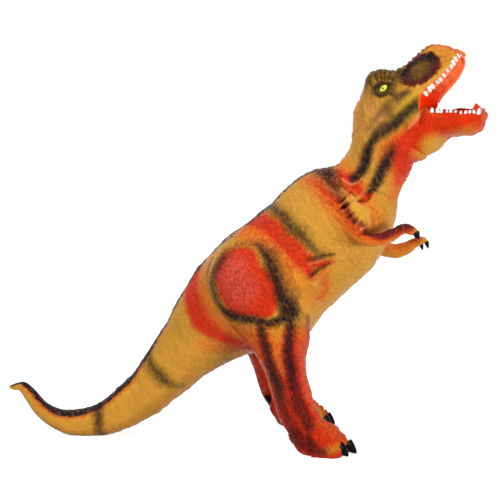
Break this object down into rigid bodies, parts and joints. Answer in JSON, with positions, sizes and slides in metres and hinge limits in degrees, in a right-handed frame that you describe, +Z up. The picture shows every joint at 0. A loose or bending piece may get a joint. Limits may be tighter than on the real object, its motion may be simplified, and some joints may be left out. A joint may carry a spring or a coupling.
{
  "type": "soft toy dinosaur",
  "caption": "Stuffed soft vinyl dinosaur standing on two legs and its tail, with a turning neck, a springy jaw and swinging arms and legs.",
  "frame": {"origin": "middle of the footprint, on the ground", "axes": "+X towards the head, +Y to the animal's left, +Z up"},
  "size_m": [0.4692, 0.154, 0.3901],
  "materials": {
    "body_vinyl": "satin soft vinyl, airbrushed ochre, orange and brown",
    "head_vinyl": "satin soft vinyl, airbrushed ochre, olive and maroon",
    "jaw_vinyl": "satin soft vinyl, airbrushed red-orange",
    "limb_vinyl": "satin soft vinyl, airbrushed red-orange and dark brown",
    "claw_vinyl": "gloss black",
    "tooth_vinyl": "gloss white",
    "eye_vinyl": "gloss yellow with a dark slit",
    "mouth_vinyl": "wet-look dark red",
    "fibre_fill": "loose white polyester fibre"
  },
  "bodies": {
    "torso": {"torso_skin": "body_vinyl", "torso_stuffing": "fibre_fill", "tail_skin": "body_vinyl", "tail_stuffing": "fibre_fill"},
    "head": {"head_skin": "head_vinyl", "head_stuffing": "fibre_fill", "upper_teeth": "tooth_vinyl", "right_eye": "eye_vinyl", "left_eye": "eye_vinyl"},
    "jaw": {"jaw_skin": "jaw_vinyl", "lower_teeth": "tooth_vinyl", "tongue": "mouth_vinyl"},
    "right_leg": {"right_leg_skin": "limb_vinyl", "right_leg_stuffing": "fibre_fill", "right_outer_claw": "claw_vinyl", "right_middle_claw": "claw_vinyl", "right_inner_claw": "claw_vinyl", "right_dewclaw": "claw_vinyl"},
    "left_leg": {"left_leg_skin": "limb_vinyl", "left_leg_stuffing": "fibre_fill", "left_outer_claw": "claw_vinyl", "left_middle_claw": "claw_vinyl", "left_inner_claw": "claw_vinyl", "left_dewclaw": "claw_vinyl"},
    "right_arm": {"right_arm": "limb_vinyl", "right_finger_claw_1": "claw_vinyl", "right_finger_claw_2": "claw_vinyl"},
    "left_arm": {"left_arm": "limb_vinyl", "left_finger_claw_1": "claw_vinyl", "left_finger_claw_2": "claw_vinyl"}
  },
  "joints": [
    {"name": "neck_turn", "type": "hinge", "parent": "torso", "child": "head", "pos_m": [0.12354, 0, 0.2635], "axis": [0.3827, 0, 0.9239], "range_deg": [-22, 58]},
    {"name": "jaw_flex", "type": "hinge", "parent": "head", "child": "jaw", "pos_m": [0.17052, -0.00764, 0.31546], "axis": [-0.2855, -0.9511, 0.1183], "range_deg": [0, 22], "stiffness_Nm_per_rad": 0.15},
    {"name": "right_hip", "type": "hinge", "parent": "torso", "child": "right_leg", "pos_m": [0.01464, -0.04, 0.164], "axis": [0, -1, 0], "range_deg": [-10, 10]},
    {"name": "left_hip", "type": "hinge", "parent": "torso", "child": "left_leg", "pos_m": [0.01464, 0.04, 0.164], "axis": [0, -1, 0], "range_deg": [-10, 10]},
    {"name": "right_shoulder", "type": "hinge", "parent": "torso", "child": "right_arm", "pos_m": [0.10664, -0.043, 0.2275], "axis": [0, -1, 0], "range_deg": [-20, 20]},
    {"name": "left_shoulder", "type": "hinge", "parent": "torso", "child": "left_arm", "pos_m": [0.10664, 0.043, 0.2275], "axis": [0, -1, 0], "range_deg": [-20, 20]}
  ]
}
